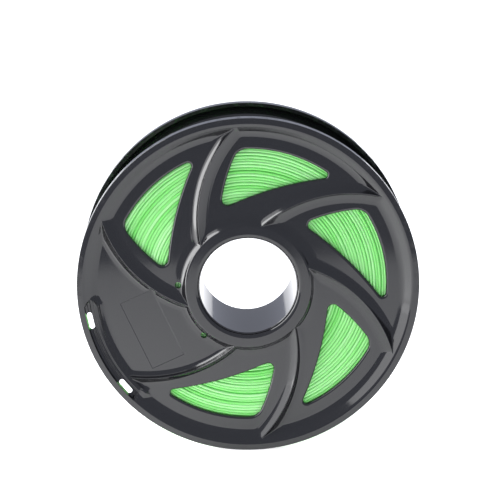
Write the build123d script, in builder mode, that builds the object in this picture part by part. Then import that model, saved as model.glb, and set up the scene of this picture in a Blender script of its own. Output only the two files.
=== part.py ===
"""Filament spool: two snap-on swirl flanges, a ribbed hub core and a full winding of 1.75 mm filament.

The spool's axis lies along Y. The front flange faces -Y, +Z is up, and the origin is the middle of the
hub bore. Depths are counted inwards from the rim face of the front flange.
"""
import os
from math import cos, radians, sin

from build123d import *

# ---- driving dimensions (mm, degrees) ------------------------------------------------------------------
spool_diameter = 200.0
spool_width = 62.0
bore_radius = 28.5
drum_radius = 38.0
winding_radius = 88.0
wall = 2.0                      # moulded wall of the flanges and the core
sectors = 6                     # swirl sectors round the flange
solid_sector = 2                # the sector that carries the bare label panel instead of a window

dish_depth = 5.0                # how far the web lies behind the rim face
collar_depth = 1.5              # how far the collar's face lies behind the rim face
rim_band = 4.0                  # width of the flat band round the rim
rim_chamfer = 0.5
slope_run = 6.0                 # the rim's inner slope, measured along the radius
collar_radius = 36.5            # outer edge of the collar's face
collar_foot = 41.0              # where the collar's sloped wall meets the web
mouth_round = 2.7               # rounding of the hub's mouth
mouth_radius = 28.8             # the mouth stops just outside the bore

crest_depth = 1.6               # crest of a swirl ridge
steep_flank = 4.0               # foot of the ridge on its anticlockwise side
gentle_flank = 5.0              # foot of the ridge on its clockwise side

window_radius = 81.0            # outer edge of the windows
window_angles = (52.4, 94.0)    # from the sharp tip to the heel
window_inner = (-15.8, 45.5)    # inner corner, before rounding
window_lower_middle = (16.0, 57.9)
window_side_middle = (-12.2, 64.3)
window_rounds = (3.3, 2.0, 8.0)                   # inner corner, tip and heel

hook_count = 6
hook_width = 8.0
hook_radius = 32.5
hook_thickness = 1.8
barb = 1.2
barb_length = 3.5
catch_depth = 12.0              # where the hooks catch the core's ledge
rib_count = 6

start_holes = ((41.0, 179.5), (39.8, 229.0))      # radius and angle of the filament start holes
start_hole_diameter = 3.8
strip_angles = (185.5, 225.0)   # the recessed clip strip in the rim
strip_floor_depth = 4.0
strip_inner = 89.5
bead_width = 1.8                # bead along the strip's inner side
bead_depth = 3.4
slot_angles = (192.5, 220.0)
slot_radius = 94.5
slot_length = 10.0
slot_width = 3.0
panel_angle = 205.0
panel_distance = 62.4
panel_size = (44.0, 21.0)
panel_step = 0.2

# ---- derived sizes -------------------------------------------------------------------------------------
rim_radius = spool_diameter / 2
half_width = spool_width / 2
pitch_angle = 360 / sectors
flange_depth = dish_depth + wall
rim_inner = rim_radius - rim_band
slope_foot = rim_inner - slope_run
mouth_depth = collar_depth + mouth_round
mouth_start = mouth_radius + mouth_round
front_face = Plane.XZ.offset(half_width)
ledge_width = 2.0
ledge_height = barb + 0.2
ledge_middle = half_width - catch_depth + ledge_width / 2


def at_depth(depth):
    """The Y coordinate that lies this far behind the front rim face."""
    return depth - half_width


def point_at(radius, angle):
    """A point of the flange's face from its radius and its angle, counted from +X towards +Z."""
    return (radius * cos(radians(angle)), radius * sin(radians(angle)))


def ring_sector(inner, outer, first, last):
    """The flat outline between two radii and two angles."""
    with BuildSketch() as outline:
        with BuildLine():
            CenterArc((0, 0), inner, first, last - first)
            CenterArc((0, 0), outer, first, last - first)
            Line(point_at(inner, first), point_at(outer, first))
            Line(point_at(inner, last), point_at(outer, last))
        make_face()
    return outline.sketch


# ---- swirl ridge: a lopsided crest along one arc from the collar to the rim -----------------------------
with BuildPart() as ridge:
    with BuildLine(Plane.XZ.offset(half_width - dish_depth)) as crest_path:
        ThreePointArc(point_at(36.0, 138.8), point_at(66.0, 113.5), point_at(97.0, 92.6))
    with BuildSketch(Plane(origin=crest_path.line @ 0, x_dir=(0, -1, 0), z_dir=crest_path.line % 0)):
        with BuildLine():
            Polyline(
                (-wall / 4, steep_flank),
                (0, steep_flank),
                (dish_depth - crest_depth, 0),
                (0, -gentle_flank),
                (-wall / 4, -gentle_flank),
                close=True,
            )
        make_face()
    sweep(path=crest_path.line)
    # trimmed to the space between the collar's wall and the rim's slope
    with BuildSketch(Plane.XY):
        with BuildLine():
            Polyline(
                (collar_foot - wall / 4, at_depth(dish_depth + wall / 2)),
                (collar_radius - wall / 4, at_depth(crest_depth / 2)),
                (rim_inner - wall / 8, at_depth(crest_depth / 2)),
                (slope_foot + wall / 4, at_depth(dish_depth + wall / 2)),
                close=True,
            )
        make_face()
    revolve(axis=Axis.Y, mode=Mode.INTERSECT)

# ---- snap hook: a springy finger with a barb that catches the core's ledge ------------------------------
with BuildPart() as hook:
    with BuildSketch(Plane.XY):
        with BuildLine():
            Polyline(
                (hook_radius, at_depth(collar_depth + wall / 2)),
                (hook_radius + hook_thickness, at_depth(collar_depth + wall / 2)),
                (hook_radius + hook_thickness, at_depth(catch_depth)),
                (hook_radius + hook_thickness + barb, at_depth(catch_depth)),
                (hook_radius + hook_thickness - barb / 4, at_depth(catch_depth + barb_length)),
                (hook_radius, at_depth(catch_depth + barb_length)),
                close=True,
            )
        make_face()
    extrude(amount=hook_width / 2, both=True)

# ---- window: a curved triangle with rounded corners between two ridges ----------------------------------
with BuildSketch(front_face) as window:
    with BuildLine():
        ThreePointArc(window_inner, window_lower_middle, point_at(window_radius, window_angles[0]))
        CenterArc((0, 0), window_radius, window_angles[0], window_angles[1] - window_angles[0])
        ThreePointArc(point_at(window_radius, window_angles[1]), window_side_middle, window_inner)
    make_face()
    fillet(window.vertices().sort_by(Axis.Z)[0], window_rounds[0])
    fillet(window.vertices().sort_by(Axis.X)[-1], window_rounds[1])
    fillet(window.vertices().sort_by(Axis.Z)[-1], window_rounds[2])

# ---- front flange: one moulding with its rim, web, ridges, collar and hooks ------------------------------
with BuildPart() as front_flange:
    # the turned shape: rim, inner slope, recessed web, collar and mouth, all one wall thick
    with BuildSketch(Plane.XY):
        with BuildLine():
            Polyline(
                (mouth_radius, at_depth(mouth_depth)),
                (mouth_start, at_depth(mouth_depth)),
                (mouth_start, at_depth(collar_depth + wall)),
                (collar_radius - wall, at_depth(collar_depth + wall)),
                (drum_radius - wall, at_depth(dish_depth)),
                (drum_radius - wall, at_depth(flange_depth)),
                (slope_foot + wall / 2, at_depth(flange_depth)),
                (rim_inner + wall / 2, at_depth(wall)),
                (rim_radius - wall, at_depth(wall)),
                (rim_radius - wall, at_depth(flange_depth)),
                (rim_radius, at_depth(flange_depth)),
                (rim_radius, at_depth(rim_chamfer)),
                (rim_radius - rim_chamfer, at_depth(0)),
                (rim_inner, at_depth(0)),
                (slope_foot, at_depth(dish_depth)),
                (collar_foot, at_depth(dish_depth)),
                (collar_radius, at_depth(collar_depth)),
                (mouth_start, at_depth(collar_depth)),
            )
            ThreePointArc(
                (mouth_start, at_depth(collar_depth)),
                (mouth_start - mouth_round * sin(radians(45)),
                 at_depth(mouth_depth - mouth_round * cos(radians(45)))),
                (mouth_radius, at_depth(mouth_depth)),
            )
        make_face()
    revolve(axis=Axis.Y)

    # the clip strip has a floor of its own across the hollow of the rim, and a bead along its inner side
    with BuildSketch(front_face.offset(-strip_floor_depth)):
        add(ring_sector(strip_inner, rim_radius - wall / 2, *strip_angles))
    extrude(amount=-wall)
    with BuildSketch(front_face):
        add(ring_sector(strip_inner, rim_inner + wall / 2, *strip_angles))
    extrude(amount=-strip_floor_depth, mode=Mode.SUBTRACT)
    with BuildSketch(front_face.offset(-bead_depth)):
        add(ring_sector(strip_inner - bead_width, strip_inner, *strip_angles))
    extrude(amount=bead_depth - dish_depth - wall / 4)

    for sector in range(sectors):
        add(ridge.part.rotate(Axis.Y, sector * pitch_angle))

    # windows in every sector but the one with the label panel
    for sector in range(sectors):
        if sector != solid_sector:
            with BuildSketch(front_face):
                add(window.sketch.rotate(Axis.Y, -sector * pitch_angle))
            extrude(amount=-flange_depth - wall, mode=Mode.SUBTRACT)

    with BuildSketch(front_face.offset(-dish_depth)):
        with Locations(point_at(panel_distance, panel_angle)):
            Rectangle(panel_size[0], panel_size[1], rotation=panel_angle + 90)
    extrude(amount=-panel_step, mode=Mode.SUBTRACT)

    with BuildSketch(front_face):
        for radius, angle in start_holes:
            with Locations(point_at(radius, angle)):
                Circle(start_hole_diameter / 2)
        for angle in slot_angles:
            with Locations(point_at(slot_radius, angle)):
                SlotOverall(slot_length, slot_width, rotation=angle + 90)
    extrude(amount=-flange_depth - wall, mode=Mode.SUBTRACT)

    for number in range(hook_count):
        add(hook.part.rotate(Axis.Y, (number + 0.5) * 360 / hook_count))

front_flange.part.label = "front_flange"

# ---- back flange: the same moulding, turned round to face the other way ---------------------------------
with BuildPart() as back_flange:
    add(front_flange.part.rotate(Axis.Z, 180))

back_flange.part.label = "back_flange"

# ---- hub core: bore tube and drum wall joined by ribs and a middle disc ---------------------------------
with BuildPart() as hub_core:
    with BuildSketch(Plane.XY):
        with Locations((bore_radius + wall / 2, 0)):
            Rectangle(wall, 2 * (half_width - mouth_depth))
        with Locations((drum_radius - wall / 2, 0)):
            Rectangle(wall, 2 * (half_width - flange_depth))
        with Locations(((bore_radius + drum_radius) / 2, 0)):
            Rectangle(drum_radius - bore_radius - wall, wall)
        # a ledge inside each end of the drum, which the flanges' hooks snap behind
        with Locations((drum_radius - wall, ledge_middle), (drum_radius - wall, -ledge_middle)):
            Rectangle(2 * ledge_height, ledge_width)
    revolve(axis=Axis.Y)
    with BuildSketch(Plane.XZ):
        with PolarLocations((bore_radius + drum_radius) / 2, rib_count):
            Rectangle(drum_radius - bore_radius - wall, wall)
    extrude(amount=half_width - flange_depth - 1.0, both=True)

hub_core.part.label = "hub_core"

# ---- filament winding: the outer shape of the wound strand, from the drum to the last layer -------------
with BuildPart() as filament_winding:
    with BuildSketch(Plane.XZ):
        Circle(winding_radius)
        Circle(drum_radius, mode=Mode.SUBTRACT)
    extrude(amount=half_width - flange_depth, both=True)

filament_winding.part.label = "filament_winding"

# ---- files ----------------------------------------------------------------------------------------------
os.makedirs("parts", exist_ok=True)
export_step(front_flange.part, "parts/front_flange.step")
export_step(back_flange.part, "parts/back_flange.step")
export_step(hub_core.part, "parts/hub_core.step")
export_step(filament_winding.part, "parts/filament_winding.step")
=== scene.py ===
from math import atan2, ceil, cos, hypot, pi, radians, sin, sqrt

import bmesh
import bpy
import numpy as np
from mathutils import Matrix, Vector


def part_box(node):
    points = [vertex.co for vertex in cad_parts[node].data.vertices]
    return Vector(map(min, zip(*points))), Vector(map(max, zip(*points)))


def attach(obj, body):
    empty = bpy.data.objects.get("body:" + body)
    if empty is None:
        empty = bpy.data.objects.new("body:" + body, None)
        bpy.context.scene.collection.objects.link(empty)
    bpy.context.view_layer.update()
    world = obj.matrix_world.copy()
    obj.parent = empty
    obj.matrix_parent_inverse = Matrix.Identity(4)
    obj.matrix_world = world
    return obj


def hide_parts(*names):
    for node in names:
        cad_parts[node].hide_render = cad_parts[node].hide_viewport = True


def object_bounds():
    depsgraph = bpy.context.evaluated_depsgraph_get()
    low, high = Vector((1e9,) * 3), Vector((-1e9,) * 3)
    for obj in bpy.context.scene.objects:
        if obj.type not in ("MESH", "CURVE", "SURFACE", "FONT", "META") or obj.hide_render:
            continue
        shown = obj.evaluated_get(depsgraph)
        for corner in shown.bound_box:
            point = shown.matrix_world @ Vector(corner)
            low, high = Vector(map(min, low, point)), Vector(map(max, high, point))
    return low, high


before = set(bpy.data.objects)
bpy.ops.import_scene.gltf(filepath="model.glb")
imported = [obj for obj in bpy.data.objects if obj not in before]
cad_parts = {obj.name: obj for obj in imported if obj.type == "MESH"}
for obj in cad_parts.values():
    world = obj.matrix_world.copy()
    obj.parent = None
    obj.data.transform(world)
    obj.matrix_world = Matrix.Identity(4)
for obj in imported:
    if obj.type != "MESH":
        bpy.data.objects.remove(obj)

cad_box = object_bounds()

# ---------------------------------------------------------------------------------------------------
# Camera: a long lens from just above, so that the spool's face shows almost square and the wall of
# the bore opens a little downwards.
# ---------------------------------------------------------------------------------------------------
camera_distance = 1.1356
camera_pitch = radians(13.59)
camera_yaw = radians(1.04)
camera_side_step = 0.00157
camera_lift = 0.01469
camera_lens = 136.5

level = cos(camera_pitch)
sight = Vector((sin(camera_yaw) * level, cos(camera_yaw) * level, -sin(camera_pitch)))
across = Vector((cos(camera_yaw), -sin(camera_yaw), 0))
camera_data = bpy.data.cameras.new("camera")
camera_data.lens = camera_lens
camera = bpy.data.objects.new("camera", camera_data)
camera.location = across * camera_side_step + across.cross(sight) * camera_lift - sight * camera_distance
camera.rotation_euler = sight.to_track_quat("-Z", "Y").to_euler()
bpy.context.scene.collection.objects.link(camera)
bpy.context.scene.camera = camera
bpy.context.scene.view_settings.view_transform = "Standard"

# ---------------------------------------------------------------------------------------------------
# Studio: a pale table top whose slanting front edge the glossy faces mirror, a dimmer bluish surround
# that their upper halves take their dark tone from, and four upright or overhead softboxes.
# ---------------------------------------------------------------------------------------------------
floor_height = cad_box[0][2]
table_front = -0.49
table_slant = -0.146
table_back = 3.2
table_half_width = 1.8


def plain_surface(name, colour, roughness, glow=0.0):
    """A plain matt surface, with its own light if it glows."""
    material = bpy.data.materials.new(name)
    material.use_nodes = True
    shader = material.node_tree.nodes["Principled BSDF"]
    shader.inputs["Base Color"].default_value = (*colour, 1)
    shader.inputs["Roughness"].default_value = roughness
    shader.inputs["Emission Color"].default_value = (*colour, 1)
    shader.inputs["Emission Strength"].default_value = glow
    return material


def studio_board(name, corners, material):
    """A flat four-cornered board that isn't part of the object."""
    mesh = bpy.data.meshes.new(name)
    mesh.from_pydata(corners, [], [(0, 1, 2, 3)])
    mesh.materials.append(material)
    board = bpy.data.objects.new(name, mesh)
    bpy.context.scene.collection.objects.link(board)


studio_board(
    "table_top",
    [
        (-table_half_width, table_front - table_half_width * table_slant, floor_height),
        (table_half_width, table_front + table_half_width * table_slant, floor_height),
        (table_half_width, table_back, floor_height),
        (-table_half_width, table_back, floor_height),
    ],
    plain_surface("pale_table", (0.93, 0.93, 0.93), 0.6, 0.88),
)

surround = bpy.data.worlds.new("surround")
surround.use_nodes = True
surround.node_tree.nodes["Background"].inputs["Color"].default_value = (0.80, 0.84, 1.0, 1)
surround.node_tree.nodes["Background"].inputs["Strength"].default_value = 0.63
bpy.context.scene.world = surround


def soft_light(name, place, target, width, height, power):
    """A rectangular softbox turned towards a point."""
    data = bpy.data.lights.new(name, "AREA")
    data.shape = "RECTANGLE"
    data.size = width
    data.size_y = height
    data.energy = power
    light = bpy.data.objects.new(name, data)
    light.location = place
    light.rotation_euler = (Vector(target) - Vector(place)).to_track_quat("-Z", "Y").to_euler()
    bpy.context.scene.collection.objects.link(light)


soft_light("left_softbox", (-0.45, 0.03, 0.3), (0, 0.03, 0.3), 0.42, 0.8, 6.5)
soft_light("left_spill", (-0.5, -0.05, 0.32), (0, -0.05, 0.32), 0.7, 0.84, 5)
soft_light("right_softbox", (0.75, 0.04, 0.26), (0, 0.04, 0.26), 0.16, 0.3, 1.1)
soft_light("top_softbox", (0, 0.25, 1.5), (0, 0, 0), 1.5, 0.8, 4)


# ---------------------------------------------------------------------------------------------------
# Flange moulding: one glossy black shell, used at both ends. The web lies in a dish behind the rim, six
# lopsided ridges swirl across it, and five of the six sectors between them have a curved window.
# Sizes are in millimetres, and heights are counted from the web towards the outside.
# ---------------------------------------------------------------------------------------------------
mm = 0.001
black_gloss = bpy.data.materials.new("black_gloss")
black_gloss.use_nodes = True
gloss_nodes = black_gloss.node_tree.nodes
gloss_links = black_gloss.node_tree.links
gloss_shader = gloss_nodes["Principled BSDF"]
gloss_shader.inputs["Base Color"].default_value = (0.0085, 0.0085, 0.0095, 1)
gloss_shader.inputs["IOR"].default_value = 1.56


def noise_on(nodes, links, where, scale, detail):
    """A noise pattern laid on a vector socket."""
    noise = nodes.new("ShaderNodeTexNoise")
    noise.inputs["Scale"].default_value = scale
    noise.inputs["Detail"].default_value = detail
    links.new(where, noise.inputs["Vector"])
    return noise.outputs[0]


def mapped(nodes, links, value, low, high, new_low, new_high):
    """A value moved from one range to another and held inside it."""
    node = nodes.new("ShaderNodeMapRange")
    links.new(value, node.inputs["Value"])
    for label, number in (("From Min", low), ("From Max", high), ("To Min", new_low), ("To Max", new_high)):
        node.inputs[label].default_value = number
    return node.outputs[0]


# polish that varies a little, a faint waviness of the moulded walls and a finer skin on top of it
gloss_place = gloss_nodes.new("ShaderNodeTexCoord").outputs["Object"]
polish_noise = noise_on(gloss_nodes, gloss_links, gloss_place, 60, 4)
polish = mapped(gloss_nodes, gloss_links, polish_noise, 0.3, 0.7, 0.06, 0.11)
# the outermost few millimetres of the rim are rubbed dull in patches, where the spool rolls and stands
flat_place = gloss_nodes.new("ShaderNodeVectorMath")
flat_place.operation = "MULTIPLY"
flat_place.inputs[1].default_value = (1, 0, 1)
gloss_links.new(gloss_place, flat_place.inputs[0])
reach = gloss_nodes.new("ShaderNodeVectorMath")
reach.operation = "LENGTH"
gloss_links.new(flat_place.outputs["Vector"], reach.inputs[0])
rim_share = mapped(gloss_nodes, gloss_links, reach.outputs["Value"], 0.0965, 0.0998, 0, 1)
rubbed_noise = noise_on(gloss_nodes, gloss_links, gloss_place, 240, 6)
rubbed = mapped(gloss_nodes, gloss_links, rubbed_noise, 0.48, 0.62, 0, 0.22)
scuffs = gloss_nodes.new("ShaderNodeMath")
scuffs.operation = "MULTIPLY_ADD"
gloss_links.new(rim_share, scuffs.inputs[0])
gloss_links.new(rubbed, scuffs.inputs[1])
gloss_links.new(polish, scuffs.inputs[2])
gloss_links.new(scuffs.outputs[0], gloss_shader.inputs["Roughness"])
waves = gloss_nodes.new("ShaderNodeBump")
waves.inputs["Distance"].default_value = 0.0004
waves.inputs["Strength"].default_value = 0.05
gloss_links.new(noise_on(gloss_nodes, gloss_links, gloss_place, 28, 1), waves.inputs["Height"])
skin = gloss_nodes.new("ShaderNodeBump")
skin.inputs["Distance"].default_value = 0.00002
skin.inputs["Strength"].default_value = 0.1
gloss_links.new(noise_on(gloss_nodes, gloss_links, gloss_place, 900, 2), skin.inputs["Height"])
gloss_links.new(waves.outputs[0], skin.inputs["Normal"])
gloss_links.new(skin.outputs[0], gloss_shader.inputs["Normal"])

# the turned sizes of the moulding
flange_low, flange_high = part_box("front_flange")
winding_low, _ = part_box("filament_winding")
rim_radius = flange_high.x / mm
rim_face = flange_low.y / mm
inner_face = winding_low.y / mm
wall = 2.0
web_face = inner_face - wall
rim_height = web_face - rim_face
collar_height = 3.5
ridge_height = 3.4
rim_band = 4.0
slope_foot = 90.0
collar_radius = 36.5
collar_foot = 41.0
mouth_radius = 28.8
mouth_round = 2.7
sectors = 6
bare_sector = 2
pitch = 2 * pi / sectors

steep_flank = 4.6
gentle_flank = 5.4
panel_flank = 3.0               # beside the bare sector
steep_bend = 1.5
gentle_bend = 1.35
collar_bend = 1.5
crest_round = 0.5
collar_round = 0.6
rim_round = 0.8
rim_fillet = 1.8
collar_fillet = 1.2
ridge_fillet = 0.7
ridge_trim = 3.0                # how steeply a ridge ends above the collar's face
rim_edge = 0.45


def point_at(radius, angle):
    """A point of the face from its radius and its angle in degrees, from +X towards +Z."""
    return np.array((radius * cos(radians(angle)), radius * sin(radians(angle))))


def circle_through(first, middle, last):
    """Centre and radius of the circle through three points."""
    rows = np.array((middle - first, last - first)) * 2
    sums = np.array((middle @ middle - first @ first, last @ last - first @ first))
    centre = np.linalg.solve(rows, sums)
    return centre, hypot(*(first - centre))


crest_start = point_at(36, 138.8)
crest_middle = point_at(66, 113.5)
crest_end = point_at(97, 92.6)
crest_centre, crest_radius = circle_through(crest_start, crest_middle, crest_end)
crest_reach = hypot(*crest_centre)
crest_bearing = atan2(crest_centre[1], crest_centre[0])


def ridge_angle(radius, offset=0.0):
    """Where the arc that runs beside the first ridge's crest, this far off it, crosses a radius."""
    ratio = (radius**2 + crest_reach**2 - (crest_radius + offset) ** 2) / (2 * radius * crest_reach)
    return crest_bearing + np.arccos(np.clip(ratio, -1, 1))


def soft_max(a, b, blend):
    """The larger of two heights, with a fillet of this height where they cross."""
    return np.maximum(a, b) + np.maximum(blend - np.abs(a - b), 0) ** 2 / (4 * blend)


def soft_min(a, b, blend):
    return -soft_max(-a, -b, blend)


def soft_step(value):
    """0 below 0, 1 above 1, and a smooth rise between."""
    value = np.clip(value, 0, 1)
    return value * value * (3 - 2 * value)


def hollow_flank(rise, bend):
    """A flank's share of its height, 0 at the foot and 1 at the crest, bent hollow in between."""
    return np.maximum(rise, 0) ** bend + np.minimum(rise, 0)


strip_first = radians(185.2)
strip_last = radians(225)
bead_last = radians(229)
bead_inner = 86.7
bead_outer = 89.2
bead_height = 2.3
strip_floor = 1.0
strip_rise = 0.26
strip_drops = (91.0, 92.8, 94.5)
strip_drop = 0.5
strip_wall = 96.0
bead_flank = 1.1
bead_round = 0.5
bead_fillet = 1.0
bead_fade = 3.0                 # the bead sinks into the web over this length
bead_fade_slope = 0.7
bead_cap_reach = 20.0           # how far the bead runs round the strip's upper end
sunk = 9.0                      # deep enough to leave no trace


def flange_height(x, z):
    """Height of the flange's outer face above the web."""
    radius = np.hypot(x, z)
    angle = np.arctan2(z, x)
    turns = np.round((angle - ridge_angle(radius)) / pitch)
    near = np.arctan2(z, x) - turns * pitch
    off_crest = np.hypot(radius * np.cos(near) - crest_centre[0], radius * np.sin(near) - crest_centre[1])
    off_crest = off_crest - crest_radius
    slope = (radius - slope_foot) * rim_height / (rim_radius - rim_band - slope_foot)
    gentle = np.where(np.mod(turns, sectors) == bare_sector, panel_flank, gentle_flank)
    steep_side = hollow_flank(1 - off_crest / steep_flank, steep_bend)
    gentle_side = hollow_flank(1 + off_crest / gentle, gentle_bend)
    ridge = soft_min(ridge_height * steep_side, ridge_height * gentle_side, crest_round)
    collar = hollow_flank((collar_foot - radius) / (collar_foot - collar_radius), collar_bend)
    collar = soft_min(collar_height * collar, collar_height, collar_round)
    height = soft_max(0.0, soft_min(slope, rim_height, rim_round), rim_fillet)
    height = soft_max(height, collar, collar_fillet)
    inside_collar = np.maximum(collar_radius + collar_round - radius, 0)
    height = soft_max(height, ridge - ridge_trim * inside_collar, ridge_fillet)
    # the clip strip: a bead along its inner side, then steps down to its floor and a wall up to the rim
    along = np.mod(angle, 2 * pi)
    from_start = (along - strip_first) * radius
    half_strip = (strip_wall - bead_outer) / 2
    off_middle = np.hypot(np.minimum(from_start - half_strip, 0), radius - bead_outer - half_strip)
    rounded = half_strip - off_middle
    to_end = (strip_last - along) * radius
    inside = np.minimum(np.where(from_start < half_strip, rounded, 3 * half_strip), to_end)
    past_bead = np.where(from_start < half_strip, rounded, radius - bead_outer)
    bead = soft_min((past_bead + bead_outer - bead_inner) * bead_flank, bead_height, bead_round)
    bead_end = (bead_last - along) * radius
    bead = bead - bead_fade_slope * np.clip(bead_fade - bead_end, 0, sunk)
    bead = bead - sunk * (from_start < -bead_cap_reach)
    height = soft_max(height, bead, bead_fillet)
    floor = strip_floor + strip_rise * (radius - bead_outer)
    for start in strip_drops:
        floor = floor - strip_drop * soft_step((radius - start) / 0.7)
    floor = floor + (rim_height - floor) * soft_step((radius - strip_wall) / 0.5)
    share = soft_step(inside / 0.5) * soft_step((radius - bead_outer + 0.6) / 0.4)
    height = height + (floor - height) * share
    return np.minimum(height, rim_height)


def face_normals(x, z):
    """Outward normals of the face, from the slope of its height."""
    step = 0.02
    across_x = (flange_height(x + step, z) - flange_height(x - step, z)) / (2 * step)
    across_z = (flange_height(x, z + step) - flange_height(x, z - step)) / (2 * step)
    normals = np.stack((-across_x, -np.ones_like(x), -across_z), -1)
    return normals / np.linalg.norm(normals, axis=-1, keepdims=True)


class Shell:
    """Points with their normals and the faces between them, gathered strip by strip."""

    def __init__(self):
        self.points = []
        self.normals = []
        self.faces = []
        self.count = 0

    def add(self, points, normals):
        """Adds points and returns their numbers."""
        self.points.append(np.asarray(points, float))
        self.normals.append(np.asarray(normals, float))
        first = self.count
        self.count += len(points)
        return np.arange(first, self.count)

    def strip(self, lower, upper, closed=True):
        """Quads between two rows of points, the outside on the left of the way from lower to upper."""
        last = len(lower) if closed else len(lower) - 1
        for i in range(last):
            j = (i + 1) % len(lower)
            self.faces.append((lower[i], lower[j], upper[j], upper[i]))


def mesh_from_shell(shell, name):
    """A mesh with shared corners that keeps the shell's own normals in a corner attribute."""
    points = np.concatenate(shell.points)
    normals = np.concatenate(shell.normals)
    _, first, where = np.unique(np.round(points, 4), axis=0, return_index=True, return_inverse=True)
    where = where.reshape(-1)
    faces = []
    corner_normals = []
    for face in shell.faces:
        joined = []
        kept = []
        for corner in face:
            if where[corner] not in joined:
                joined.append(where[corner])
                kept.append(normals[corner])
        if len(joined) > 2:
            faces.append([int(corner) for corner in joined])
            corner_normals.extend(kept)
    mesh = bpy.data.meshes.new(name)
    mesh.from_pydata([tuple(point) for point in points[first] * mm], [], faces)
    attribute = mesh.attributes.new("true_normal", "FLOAT_VECTOR", "CORNER")
    attribute.data.foreach_set("vector", np.array(corner_normals, np.float32).ravel())
    return mesh


# Rings and columns of the face. The columns follow the ridges' arcs, close together over a crest and its
# flanks and wider apart over the flat web.
rings = np.concatenate((
    (mouth_radius + mouth_round, 33.0, 34.3),
    np.arange(35.2, 41.6, 0.3),
    np.linspace(42.2, 86.2, 30),
    np.arange(86.6, 97.0, 0.28),
    (97.4, 98.4, rim_radius - rim_edge),
))
beside_steep = (0, 0.12, 0.3, 0.55, 0.9, 1.4, 2.0, 2.6, 3.1, 3.5, 3.9, 4.3, 4.8, 5.5, 6.5)
beside_gentle = (-7.0, -6.2, -5.6, -5.1, -4.6, -4.1, -3.5, -2.8, -2.1, -1.5, -1.0, -0.6, -0.3, -0.12)
web_columns = 56

columns = []
for sector in range(sectors):
    for offset in beside_steep:
        columns.append(ridge_angle(rings, offset) + sector * pitch)
    near_edge = ridge_angle(rings, beside_steep[-1]) + sector * pitch
    far_edge = ridge_angle(rings, beside_gentle[0]) + (sector + 1) * pitch
    for number in range(1, web_columns):
        columns.append(near_edge + (far_edge - near_edge) * number / web_columns)
    for offset in beside_gentle:
        columns.append(ridge_angle(rings, offset) + (sector + 1) * pitch)
angles = np.array(columns).T
grid_x = rings[:, None] * np.cos(angles)
grid_z = rings[:, None] * np.sin(angles)
grid_height = flange_height(grid_x, grid_z)

shell = Shell()
grid_points = np.stack((grid_x, web_face - grid_height, grid_z), -1)
numbers = shell.add(grid_points.reshape(-1, 3), face_normals(grid_x, grid_z).reshape(-1, 3))
numbers = numbers.reshape(grid_x.shape)

# Window outline: three arcs with rounded corners, in the sector beside the first ridge.
window_radius = 81.0
window_inner = np.array((-15.8, 45.5))
window_tip = point_at(window_radius, 52.4)
window_heel = point_at(window_radius, 94.0)
lower_side = (*circle_through(window_inner, np.array((16.0, 57.9)), window_tip), -1)
outer_side = (np.zeros(2), window_radius, 1)
heel_side = (*circle_through(window_heel, np.array((-12.2, 64.3)), window_inner), 1)
outline_step = 0.8


def rounding_centre(first, second, round_radius, near):
    """Centre of the rounding that touches two sides from inside the window."""
    centre_a, radius_a, inside_a = first
    centre_b, radius_b, inside_b = second
    reach_a = radius_a - inside_a * round_radius
    reach_b = radius_b - inside_b * round_radius
    apart = centre_b - centre_a
    distance = hypot(*apart)
    along = (reach_a**2 - reach_b**2 + distance**2) / (2 * distance)
    aside = sqrt(max(reach_a**2 - along**2, 0))
    unit = apart / distance
    normal = np.array((-unit[1], unit[0]))
    choices = [centre_a + unit * along + normal * aside * way for way in (1, -1)]
    return min(choices, key=lambda point: hypot(*(point - near)))


def arc_points(centre, radius, start, end, turn):
    """Points and outward normals along an arc; turn is 1 anticlockwise and -1 clockwise."""
    first = atan2(*(start - centre)[::-1])
    last = atan2(*(end - centre)[::-1])
    sweep = (last - first) * turn % (2 * pi) * turn
    steps = max(2, ceil(abs(sweep) * radius / outline_step))
    turned = first + sweep * np.arange(steps) / steps
    outward = np.stack((np.cos(turned), np.sin(turned)), -1)
    return centre + outward * radius, outward * turn


corners = (
    (lower_side, outer_side, 2.0, window_tip),
    (outer_side, heel_side, 8.0, window_heel),
    (heel_side, lower_side, 3.3, window_inner),
)
rounds = []
for before, after, round_radius, corner in corners:
    middle = rounding_centre(before, after, round_radius, corner)
    touches = []
    for centre, radius, _ in (before, after):
        away = middle - centre
        touches.append(centre + away / hypot(*away) * radius)
    rounds.append((middle, round_radius, *touches))
pieces = []
for number, (middle, round_radius, start, end) in enumerate(rounds):
    pieces.append(arc_points(middle, round_radius, start, end, 1))
    side_centre, side_radius, inside = corners[number][1]
    pieces.append(arc_points(side_centre, side_radius, end, rounds[(number + 1) % 3][2], inside))
window_outline = np.concatenate([piece[0] for piece in pieces])
window_outward = np.concatenate([piece[1] for piece in pieces])


def turned_by(points, angle):
    """Flat points turned anticlockwise about the spool's axis."""
    return points @ np.array(((cos(angle), sin(angle)), (-sin(angle), cos(angle))))


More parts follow.
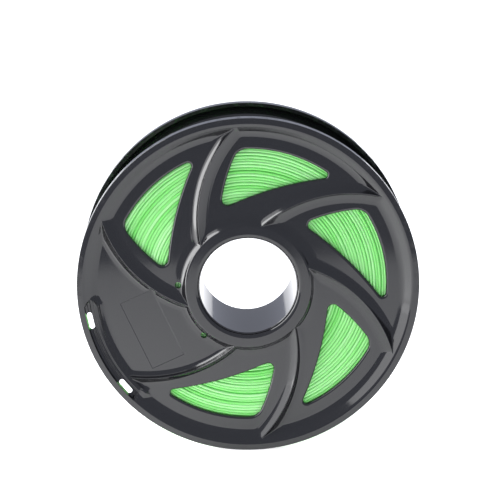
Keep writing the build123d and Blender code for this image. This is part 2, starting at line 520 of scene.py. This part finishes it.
def removed_quads(outline, margin):
    """Which quads of the face come within a margin of a closed outline, or lie inside it."""
    flat = np.stack((grid_x, grid_z), -1).reshape(-1, 2)
    near = np.abs(flat - outline.mean(0)).max(1) < np.abs(outline - outline.mean(0)).max() + 4
    blocked = np.zeros(len(flat), bool)
    chosen = flat[near]
    after = np.roll(outline, -1, 0)
    edge = after - outline
    start = chosen[:, None] - outline[None]
    along = np.clip((start * edge).sum(-1) / (edge**2).sum(-1), 0, 1)
    distance = np.linalg.norm(start - along[..., None] * edge, axis=-1).min(1)
    crosses = (outline[None, :, 1] > chosen[:, None, 1]) != (after[None, :, 1] > chosen[:, None, 1])
    rise = np.where(np.abs(edge[:, 1]) < 1e-9, 1e-9, edge[:, 1])
    at = outline[None, :, 0] + (chosen[:, None, 1] - outline[None, :, 1]) / rise * edge[:, 0]
    inside = (crosses & (chosen[:, None, 0] < at)).sum(1) % 2 == 1
    blocked[near] = inside | (distance < margin)
    blocked = blocked.reshape(grid_x.shape)
    beside = np.roll(blocked, -1, 1)
    return blocked[:-1] | blocked[1:] | beside[:-1] | beside[1:]


def open_edges(quads):
    """The edges round a patch of the face's quads, as pairs of point numbers."""
    seen = set()
    for i, j in zip(*np.nonzero(quads)):
        k = (j + 1) % numbers.shape[1]
        loop = (numbers[i, j], numbers[i + 1, j], numbers[i + 1, k], numbers[i, k])
        for a, b in zip(loop, loop[1:] + loop[:1]):
            if (b, a) in seen:
                seen.remove((b, a))
            else:
                seen.add((a, b))
    return [(int(a), int(b)) for a, b in seen]


def loop_edges(loop):
    return [(int(a), int(b)) for a, b in zip(loop, np.roll(loop, -1))]


def fill_flat(shell, edges, facing):
    """Fills the flat region between closed rows of edges; facing is -1 for the front and 1 for the back."""
    everything = np.concatenate(shell.points)
    used = sorted({number for edge in edges for number in edge})
    sheet = bmesh.new()
    corner = {}
    for number in used:
        x, _, z = everything[number]
        corner[number] = sheet.verts.new((x, z, 0))
        corner[number].index = len(corner) - 1
    drawn = []
    for a, b in edges:
        drawn.append(sheet.edges.get((corner[a], corner[b])) or sheet.edges.new((corner[a], corner[b])))
    bmesh.ops.triangle_fill(sheet, use_beauty=True, use_dissolve=False, edges=drawn, normal=(0, 0, 1))
    for face in sheet.faces:
        triangle = [used[vert.index] for vert in face.verts]
        if face.calc_area() < 1e-9:
            continue
        face.normal_update()
        if (face.normal.z > 0) != (facing < 0):
            triangle.reverse()
        shell.faces.append(triangle)
    sheet.free()


# Windows: a rounded lip round each opening, then the thin wall down to the inner face.
lip_round = 1.5
lip_turns = np.radians((0, 15, 30, 45, 60, 75, 90))
gone = np.zeros((len(rings) - 1, angles.shape[1]), bool)
window_floors = []
for sector in range(sectors):
    if sector == bare_sector:
        continue
    outline = turned_by(window_outline, sector * pitch)
    outward = turned_by(window_outward, sector * pitch)
    opening = removed_quads(outline, lip_round + 0.5)
    gone |= opening
    loops = []
    for lean in lip_turns:
        flat = outline + outward * lip_round * (1 - sin(lean))
        depth = np.full(len(flat), web_face + lip_round * (1 - cos(lean)))
        aim = -outward * sin(lean)
        normals = np.stack((aim[:, 0], np.full(len(aim), -cos(lean)), aim[:, 1]), -1)
        loops.append(shell.add(np.stack((flat[:, 0], depth, flat[:, 1]), -1), normals))
    fill_flat(shell, open_edges(opening) + loop_edges(loops[0]), -1)
    for upper, lower in zip(loops, loops[1:]):
        shell.strip(upper, lower)
    aim = -outward
    bottom = np.stack((outline[:, 0], np.full(len(outline), inner_face), outline[:, 1]), -1)
    sideways = np.stack((aim[:, 0], np.zeros(len(aim)), aim[:, 1]), -1)
    shell.strip(loops[-1], shell.add(bottom, sideways))
    window_floors.append(shell.add(bottom, np.tile((0, 1, 0), (len(bottom), 1))))

# Label panel: a bare rectangle a hair lower than the web.
panel_angle = radians(205)
panel_near = 52.0
panel_far = 72.7
panel_half_length = 22.0
panel_depth = 0.2
panel_edge = 0.25
outward = np.array((cos(panel_angle), sin(panel_angle)))
sideways = np.array((-outward[1], outward[0]))
panel_steps = 12
panel_lean = 0.6
panel_rows = []
for inset in (0, panel_edge):
    near_line = outward * (panel_near + inset)
    far_line = outward * (panel_far - inset)
    reach = sideways * (panel_half_length - inset)
    panel_corners = (near_line - reach, far_line - reach, far_line + reach, near_line + reach)
    row = []
    for start, end in zip(panel_corners, panel_corners[1:] + panel_corners[:1]):
        row.extend(start + (end - start) * step / panel_steps for step in range(panel_steps))
    panel_rows.append(np.array(row))
opening = removed_quads(panel_rows[0], 0.8)
gone |= opening
flat_normal = np.array((0, -1, 0))
rows = []
for row, depth in zip(panel_rows, (0, panel_depth)):
    points = np.stack((row[:, 0], np.full(len(row), web_face + depth), row[:, 1]), -1)
    rows.append(shell.add(points, np.tile(flat_normal, (len(row), 1))))
fill_flat(shell, open_edges(opening) + loop_edges(rows[0]), -1)
leans = turned_by(np.array(((1, 0), (0, 1), (-1, 0), (0, -1))), panel_angle)
for side in range(4):
    lean = leans[(side + 3) % 4] * -panel_lean
    edge = range(side * panel_steps, (side + 1) * panel_steps + 1)
    normals = np.tile((lean[0], -sqrt(1 - panel_lean**2), lean[1]), (len(edge), 1))
    pair = []
    for row, depth in zip(panel_rows, (0, panel_depth)):
        line = np.take(row, edge, 0, mode="wrap")
        points = np.stack((line[:, 0], np.full(len(edge), web_face + depth), line[:, 1]), -1)
        pair.append(shell.add(points, normals))
    shell.strip(*pair, closed=False)
fill_flat(shell, loop_edges(rows[1]), -1)

# The face itself, where nothing was cut out.
for i in range(len(rings) - 1):
    for j in np.nonzero(~gone[i])[0]:
        k = (j + 1) % numbers.shape[1]
        shell.faces.append((numbers[i, j], numbers[i + 1, j], numbers[i + 1, k], numbers[i, k]))


def turn_profile(shell, profile, turned):
    """Lathe rows from (radius, depth behind the rim face, normal out, normal back); a None starts anew."""
    rows = []
    before = None
    for entry in profile:
        if entry is None:
            before = None
            continue
        radius, depth, out, back = entry
        level = np.full(len(turned), rim_face + depth)
        points = np.stack((radius * np.cos(turned), level, radius * np.sin(turned)), -1)
        normals = np.stack((out * np.cos(turned), np.full(len(turned), back), out * np.sin(turned)), -1)
        row = shell.add(points, normals)
        if before is not None:
            shell.strip(before, row)
        rows.append(row)
        before = row
    return rows


def straight(profile):
    """Doubles each corner of a profile so that every stretch has its own square normal."""
    entries = []
    for (r0, d0), (r1, d1) in zip(profile, profile[1:]):
        length = hypot(r1 - r0, d1 - d0)
        normal = ((d1 - d0) / length, (r0 - r1) / length)
        entries += [None, (r0, d0, *normal), (r1, d1, *normal)]
    return entries[1:]


# Mouth, underside of the collar, inner face, hollow of the rim and the rim's edge, all turned.
mouth_depth = rim_height - collar_height + mouth_round
cap_under = rim_height - collar_height + wall
inner_depth = rim_height + wall
hollow_inner = slope_foot + wall / 2
hollow_outer = rim_radius - wall
drum_inner = 36.0
inner_turned = angles[0]
outer_turned = angles[-1]
collar_depth = rim_height - collar_height
mouth_profile = [
    (mouth_radius + mouth_round * (1 - sin(t)), collar_depth + mouth_round * (1 - cos(t)), -sin(t), -cos(t))
    for t in np.radians((0, 10, 20, 30, 42, 54, 66, 78, 90))
]
turn_profile(shell, mouth_profile, inner_turned)
under_profile = straight((
    (mouth_radius, mouth_depth),
    (mouth_radius + mouth_round, mouth_depth),
    (mouth_radius + mouth_round, cap_under),
    (collar_radius - wall, cap_under),
    (drum_inner, rim_height),
    (drum_inner, inner_depth),
))
turn_profile(shell, under_profile, inner_turned)
edge_profile = [
    (rim_radius - rim_edge * (1 - sin(t)), rim_edge * (1 - cos(t)), sin(t), -cos(t))
    for t in np.radians((90, 72, 54, 36, 18, 0))
]
hollow_profile = straight((
    (hollow_inner, inner_depth),
    (rim_radius - rim_band + wall / 2, wall),
    (hollow_outer, wall),
    (hollow_outer, inner_depth),
    (rim_radius, inner_depth),
    (rim_radius, rim_edge),
))
turn_profile(shell, hollow_profile, outer_turned)
turn_profile(shell, edge_profile, outer_turned)
back_rows = turn_profile(shell, [(drum_inner, inner_depth, 0, 1)], inner_turned)
back_rows += turn_profile(shell, [(hollow_inner, inner_depth, 0, 1)], outer_turned)
back_edges = []
for row in back_rows + window_floors:
    back_edges += loop_edges(row)
fill_flat(shell, back_edges, 1)
flange_mesh = mesh_from_shell(shell, "front_flange_moulding")
flange_mesh.materials.append(black_gloss)
flange = bpy.data.objects.new("front_flange_moulding", flange_mesh)
bpy.context.scene.collection.objects.link(flange)

# Two start holes beside the collar and two slots in the clip strip go right through.
start_holes = ((41.0, 179.5), (39.8, 229.0))
start_hole_radius = 1.9
slot_angles = (192.5, 220.0)
slot_radius = 94.5
slot_half_length = 5.0
slot_half_width = 1.5
punch_margin = 5.0
hole_sides = 36
slot_end_sides = 12
punch = bmesh.new()


def add_punch(outline):
    """A prism through the whole flange that cuts one hole."""
    near = [punch.verts.new((x * mm, (rim_face - punch_margin) * mm, z * mm)) for x, z in outline]
    far = [punch.verts.new((x * mm, (inner_face + punch_margin) * mm, z * mm)) for x, z in outline]
    punch.faces.new(near)
    punch.faces.new(far[::-1])
    for i in range(len(near)):
        k = (i + 1) % len(near)
        punch.faces.new((near[k], near[i], far[i], far[k]))


for radius, angle in start_holes:
    middle = point_at(radius, angle)
    bearings = [step * 360 / hole_sides for step in range(hole_sides)]
    add_punch([middle + start_hole_radius * point_at(1, bearing) for bearing in bearings])
for angle in slot_angles:
    middle = point_at(slot_radius, angle)
    along = point_at(1, angle + 90)
    outline = []
    for end, first in ((1, angle), (-1, angle + 180)):
        centre = middle + along * (slot_half_length - slot_half_width) * end
        turned = [first + step * 180 / slot_end_sides for step in range(slot_end_sides + 1)]
        outline += [centre + slot_half_width * point_at(1, bearing) for bearing in turned]
    add_punch(outline)
bmesh.ops.recalc_face_normals(punch, faces=punch.faces)
punch_mesh = bpy.data.meshes.new("hole_punches")
punch.to_mesh(punch_mesh)
punch.free()
punches = bpy.data.objects.new("hole_punches", punch_mesh)
bpy.context.scene.collection.objects.link(punches)
cut = flange.modifiers.new("holes", "BOOLEAN")
cut.operation = "DIFFERENCE"
cut.solver = "MANIFOLD"
cut.object = punches
settled = flange.evaluated_get(bpy.context.evaluated_depsgraph_get())
flange_mesh = bpy.data.meshes.new_from_object(settled)
flange.modifiers.clear()
flange.data = flange_mesh
bpy.data.objects.remove(punches)


def shade_by_own_normals(mesh):
    """Shades a mesh by the normals it was made with, and squarely where a hole was cut."""
    flat = np.zeros(len(mesh.polygons) * 3, np.float32)
    mesh.polygons.foreach_get("normal", flat)
    sizes = np.zeros(len(mesh.polygons), np.int32)
    mesh.polygons.foreach_get("loop_total", sizes)
    square = np.repeat(flat.reshape(-1, 3), sizes, axis=0)
    own = np.zeros(len(mesh.loops) * 3, np.float32)
    mesh.attributes["true_normal"].data.foreach_get("vector", own)
    own = own.reshape(-1, 3)
    trusted = (own * square).sum(1) > 0.5
    mesh.polygons.foreach_set("use_smooth", [True] * len(mesh.polygons))
    mesh.normals_split_custom_set(np.where(trusted[:, None], own, square))
    mesh.attributes.remove(mesh.attributes["true_normal"])


back_mesh = flange_mesh.copy()
back_mesh.name = "back_flange_moulding"
shade_by_own_normals(flange_mesh)
turned_normals = np.zeros(len(back_mesh.loops) * 3, np.float32)
back_mesh.attributes["true_normal"].data.foreach_get("vector", turned_normals)
turned_normals = turned_normals.reshape(-1, 3) * (-1, -1, 1)
back_mesh.attributes["true_normal"].data.foreach_set("vector", turned_normals.astype(np.float32).ravel())
back_mesh.transform(Matrix.Rotation(pi, 4, "Z"))
back_mesh.update()
shade_by_own_normals(back_mesh)
back_flange = bpy.data.objects.new("back_flange_moulding", back_mesh)
bpy.context.scene.collection.objects.link(back_flange)
for piece, node in ((flange, "front_flange"), (back_flange, "back_flange")):
    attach(piece, "root")
    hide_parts(node)

# ---------------------------------------------------------------------------------------------------
# Hub core: one moulding of the same black polystyrene. A bore tube stands inside a drum wall, joined
# to it by a middle disc, with a ledge inside each end of the drum for the snap hooks. The hooks and the
# core's ribs are hidden between the two walls and are not drawn.
# ---------------------------------------------------------------------------------------------------
bore_radius = 28.5
drum_radius = 38.0
bore_half_length = 26.8
drum_half_length = 24.0
ledge_middle = 20.0
ledge_height = 1.4
ledge_half_width = 1.0
disc_half_width = 1.0
tube_edge = 0.4
tube_outside = bore_radius + wall
core = Shell()
core_turned = np.arange(0, 2 * pi, pi / 96)


def turn_section(shell, outline, turned):
    """Lathe a closed outline of (radius, y); each side of it keeps its own square normal."""
    for (r0, y0), (r1, y1) in zip(outline, outline[1:] + outline[:1]):
        length = hypot(r1 - r0, y1 - y0)
        out, back = (y1 - y0) / length, (r0 - r1) / length
        pair = []
        for radius, y in ((r0, y0), (r1, y1)):
            level = np.full(len(turned), y)
            points = np.stack((radius * np.cos(turned), level, radius * np.sin(turned)), -1)
            normals = np.stack((out * np.cos(turned), np.full(len(turned), back), out * np.sin(turned)), -1)
            pair.append(shell.add(points, normals))
        shell.strip(*pair)


half_section = [
    (tube_outside, disc_half_width),
    (tube_outside, bore_half_length - tube_edge),
    (tube_outside - tube_edge, bore_half_length),
    (bore_radius + tube_edge, bore_half_length),
    (bore_radius, bore_half_length - tube_edge),
]
drum_section = [
    (drum_radius, drum_half_length),
    (drum_radius - wall, drum_half_length),
    (drum_radius - wall, ledge_middle + ledge_half_width),
    (drum_radius - wall - ledge_height, ledge_middle + ledge_half_width),
    (drum_radius - wall - ledge_height, ledge_middle - ledge_half_width),
    (drum_radius - wall, ledge_middle - ledge_half_width),
    (drum_radius - wall, disc_half_width),
]
section = (
    [(r, -y) for r, y in reversed(half_section)]
    + [(r, -y) for r, y in reversed(drum_section)]
    + drum_section
    + half_section
)
turn_section(core, section, core_turned)
core_mesh = mesh_from_shell(core, "hub_core_moulding")
core_mesh.materials.append(black_gloss)
hub_core = bpy.data.objects.new("hub_core_moulding", core_mesh)
bpy.context.scene.collection.objects.link(hub_core)

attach(hub_core, "root")
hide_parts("hub_core")

# ---------------------------------------------------------------------------------------------------
# Filament winding: one light green strand of 1.75 mm wound on the drum. Each side shows the edge turns
# of all the layers as a slightly uneven spiral, the outside shows the last layer as a helix, and a
# darker green ring, painted shade of the depth between the turns, closes the gaps just behind them.
# ---------------------------------------------------------------------------------------------------
strand_radius = 0.86
strand_fullness = 1.03          # drawn a touch thicker, so that the turns close up
strand_pitch = 1.75
winding_radius = 88.0
winding_half_length = 24.0
side_clearance = 0.05
last_layer = winding_radius - side_clearance - strand_radius
first_layer = drum_radius + side_clearance + strand_radius
edge_turn = winding_half_length - side_clearance - strand_radius
sag = 0.5
last_wander = 0.12

strand_green = bpy.data.materials.new("strand_green")
strand_green.use_nodes = True
green_nodes = strand_green.node_tree.nodes
green_links = strand_green.node_tree.links
green_shader = green_nodes["Principled BSDF"]
green_shader.inputs["IOR"].default_value = 1.4
green_shader.inputs["Subsurface Weight"].default_value = 0.5
green_shader.inputs["Subsurface Radius"].default_value = (0.5, 1.0, 0.4)
green_shader.inputs["Subsurface Scale"].default_value = 0.0012
turn_mark = green_nodes.new("ShaderNodeAttribute")
turn_mark.attribute_name = "turn_number"
turn_tone = green_nodes.new("ShaderNodeTexNoise")
turn_tone.noise_dimensions = "1D"
turn_tone.inputs["Scale"].default_value = 1.9
turn_tone.inputs["Detail"].default_value = 2
green_links.new(turn_mark.outputs["Fac"], turn_tone.inputs["W"])
green_mix = green_nodes.new("ShaderNodeMix")
green_mix.data_type = "RGBA"
green_mix.inputs[6].default_value = (0.20, 0.67, 0.15, 1)
green_mix.inputs[7].default_value = (0.39, 0.81, 0.33, 1)
green_links.new(mapped(green_nodes, green_links, turn_tone.outputs[0], 0.3, 0.7, 0, 1), green_mix.inputs[0])
green_links.new(green_mix.outputs[2], green_shader.inputs["Base Color"])
green_place = green_nodes.new("ShaderNodeTexCoord").outputs["Object"]
green_noise = noise_on(green_nodes, green_links, green_place, 140, 3)
green_polish = mapped(green_nodes, green_links, green_noise, 0.3, 0.7, 0.42, 0.55)
green_links.new(green_polish, green_shader.inputs["Roughness"])
# a darker green than the strand: painted shade for the depth seen between the turns
gap_painted_shade_green = plain_surface("gap_painted_shade_green", (0.09, 0.52, 0.07), 0.7)

tree = bpy.data.node_groups.new("wound_strand", "GeometryNodeTree")
tree.interface.new_socket("Geometry", in_out="OUTPUT", socket_type="NodeSocketGeometry")
inputs = {}
for label, kind in (
    ("Turns", "NodeSocketFloat"),
    ("Start Radius", "NodeSocketFloat"),
    ("End Radius", "NodeSocketFloat"),
    ("Length", "NodeSocketFloat"),
    ("Steps per Turn", "NodeSocketInt"),
    ("Strand Radius", "NodeSocketFloat"),
    ("Strand Sides", "NodeSocketInt"),
    ("Sideways Wander", "NodeSocketFloat"),
    ("Sinking", "NodeSocketFloat"),
    ("Seed", "NodeSocketFloat"),
    ("Strand Material", "NodeSocketMaterial"),
):
    inputs[label] = tree.interface.new_socket(label, in_out="INPUT", socket_type=kind).identifier


def add_node(kind, **settings):
    """A node of the winding's tree with its plain settings."""
    node = tree.nodes.new(kind)
    for key, value in settings.items():
        setattr(node, key, value)
    return node


def join(start, end):
    tree.links.new(start, end)


def sums(operation, first, second):
    """A maths node on two sockets or numbers."""
    node = add_node("ShaderNodeMath", operation=operation)
    for slot, value in enumerate((first, second)):
        if isinstance(value, (int, float)):
            node.inputs[slot].default_value = value
        else:
            join(value, node.inputs[slot])
    return node.outputs[0]


given = add_node("NodeGroupInput").outputs
result = add_node("NodeGroupOutput")
path = add_node("GeometryNodeCurveSpiral")
join(given["Steps per Turn"], path.inputs["Resolution"])
join(given["Turns"], path.inputs["Rotations"])
join(given["Start Radius"], path.inputs["Start Radius"])
join(given["End Radius"], path.inputs["End Radius"])
join(given["Length"], path.inputs["Height"])
turn_number = sums("MULTIPLY", add_node("GeometryNodeSplineParameter").outputs["Factor"], given["Turns"])


def wander(rate, shift):
    """Smooth noise between -1 and 1 that runs on along the strand."""
    noise = add_node("ShaderNodeTexNoise", noise_dimensions="1D")
    noise.inputs["Scale"].default_value = 1.0
    noise.inputs["Detail"].default_value = 1.0
    along = sums("MULTIPLY", turn_number, rate)
    join(sums("ADD", sums("ADD", along, given["Seed"]), shift), noise.inputs["W"])
    return sums("MULTIPLY", sums("SUBTRACT", noise.outputs[0], 0.5), 2.0)


place = add_node("GeometryNodeInputPosition").outputs[0]
flat = add_node("ShaderNodeVectorMath", operation="MULTIPLY")
join(place, flat.inputs[0])
flat.inputs[1].default_value = (1, 1, 0)
outwards = add_node("ShaderNodeVectorMath", operation="NORMALIZE")
join(flat.outputs[0], outwards.inputs[0])
aside = add_node("ShaderNodeVectorMath", operation="SCALE")
join(outwards.outputs[0], aside.inputs[0])
broad_and_fine = sums("ADD", wander(2.3, 0.0), sums("MULTIPLY", wander(7.1, 31.0), 0.4))
join(sums("MULTIPLY", broad_and_fine, given["Sideways Wander"]), aside.inputs["Scale"])
depth = sums("MAXIMUM", sums("ADD", wander(1.61, 60.0), 0.35), 0.0)
down = add_node("ShaderNodeCombineXYZ")
join(sums("MULTIPLY", depth, given["Sinking"]), down.inputs["Z"])
shift = add_node("ShaderNodeVectorMath", operation="ADD")
join(aside.outputs[0], shift.inputs[0])
join(down.outputs[0], shift.inputs[1])
moved = add_node("GeometryNodeSetPosition")
join(path.outputs["Curve"], moved.inputs["Geometry"])
join(shift.outputs[0], moved.inputs["Offset"])
marked = add_node("GeometryNodeStoreNamedAttribute", data_type="FLOAT", domain="POINT")
join(moved.outputs[0], marked.inputs["Geometry"])
marked.inputs["Name"].default_value = "turn_number"
join(turn_number, marked.inputs["Value"])
outline = add_node("GeometryNodeCurvePrimitiveCircle", mode="RADIUS")
join(given["Strand Sides"], outline.inputs["Resolution"])
join(given["Strand Radius"], outline.inputs["Radius"])
strand = add_node("GeometryNodeCurveToMesh")
join(marked.outputs[0], strand.inputs["Curve"])
join(outline.outputs["Curve"], strand.inputs["Profile Curve"])
strand.inputs["Fill Caps"].default_value = True
rounded = add_node("GeometryNodeSetShadeSmooth")
join(strand.outputs[0], rounded.inputs["Geometry"])
real = add_node("GeometryNodeRealizeInstances")
join(rounded.outputs[0], real.inputs[0])
painted = add_node("GeometryNodeSetMaterial")
join(real.outputs[0], painted.inputs["Geometry"])
join(given["Strand Material"], painted.inputs["Material"])
join(painted.outputs[0], result.inputs[0])


def wound_piece(name, placing, values):
    """One run of the strand, made by the tree, baked to a plain mesh and placed."""
    seed_mesh = bpy.data.meshes.new(name)
    piece = bpy.data.objects.new(name, seed_mesh)
    bpy.context.scene.collection.objects.link(piece)
    winder = piece.modifiers.new("winding", "NODES")
    winder.node_group = tree
    for label, value in values.items():
        winder[inputs[label]] = value
    bpy.context.view_layer.update()
    mesh = bpy.data.meshes.new_from_object(piece.evaluated_get(bpy.context.evaluated_depsgraph_get()))
    mesh.name = name
    piece.modifiers.clear()
    piece.data = mesh
    bpy.data.meshes.remove(seed_mesh)
    mesh.transform(placing)
    mesh.update()
    return piece


side_turns = (last_layer - strand_pitch - first_layer) / strand_pitch
side_values = {
    "Turns": side_turns,
    "Start Radius": first_layer * mm,
    "End Radius": (last_layer - strand_pitch) * mm,
    "Length": 0.0,
    "Steps per Turn": 150,
    "Strand Radius": strand_fullness * strand_radius * mm,
    "Strand Sides": 10,
    "Sideways Wander": 0.52 * mm,
    "Sinking": sag * mm,
    "Strand Material": strand_green,
}
to_front = Matrix.Translation((0, -edge_turn * mm, 0)) @ Matrix.Rotation(-pi / 2, 4, "X")
to_back = Matrix.Translation((0, edge_turn * mm, 0)) @ Matrix.Rotation(pi / 2, 4, "X")
front_side = wound_piece("winding_front_side", to_front, {**side_values, "Seed": 3.0})
back_side = wound_piece("winding_back_side", to_back, {**side_values, "Seed": 47.0})
outer_layer = wound_piece(
    "winding_outer_layer",
    Matrix.Rotation(-pi / 2, 4, "X") @ Matrix.Translation((0, 0, -edge_turn * mm)),
    {
        **side_values,
        "Turns": 2 * edge_turn / strand_pitch,
        "Start Radius": (last_layer - last_wander) * mm,
        "End Radius": (last_layer - last_wander) * mm,
        "Length": 2 * edge_turn * mm,
        "Sideways Wander": 0.6 * last_wander * mm,
        "Sinking": 0.0,
        "Seed": 11.0,
    },
)

# the ring that closes the gaps, its faces just behind the middles of the turns, in a darker green that
# paints the shade between the turns
filler = Shell()
filler_drop = 0.3
filler_face = edge_turn - filler_drop
filler_outside = last_layer - filler_drop
turn_section(
    filler,
    [
        (drum_radius + side_clearance, -filler_face),
        (filler_outside, -filler_face),
        (filler_outside, filler_face),
        (drum_radius + side_clearance, filler_face),
    ],
    core_turned,
)
filler_mesh = mesh_from_shell(filler, "winding_depth")
filler_mesh.materials.append(gap_painted_shade_green)
winding_depth = bpy.data.objects.new("winding_depth", filler_mesh)
bpy.context.scene.collection.objects.link(winding_depth)

for piece in (front_side, back_side, outer_layer, winding_depth):
    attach(piece, "root")
    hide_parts("filament_winding")
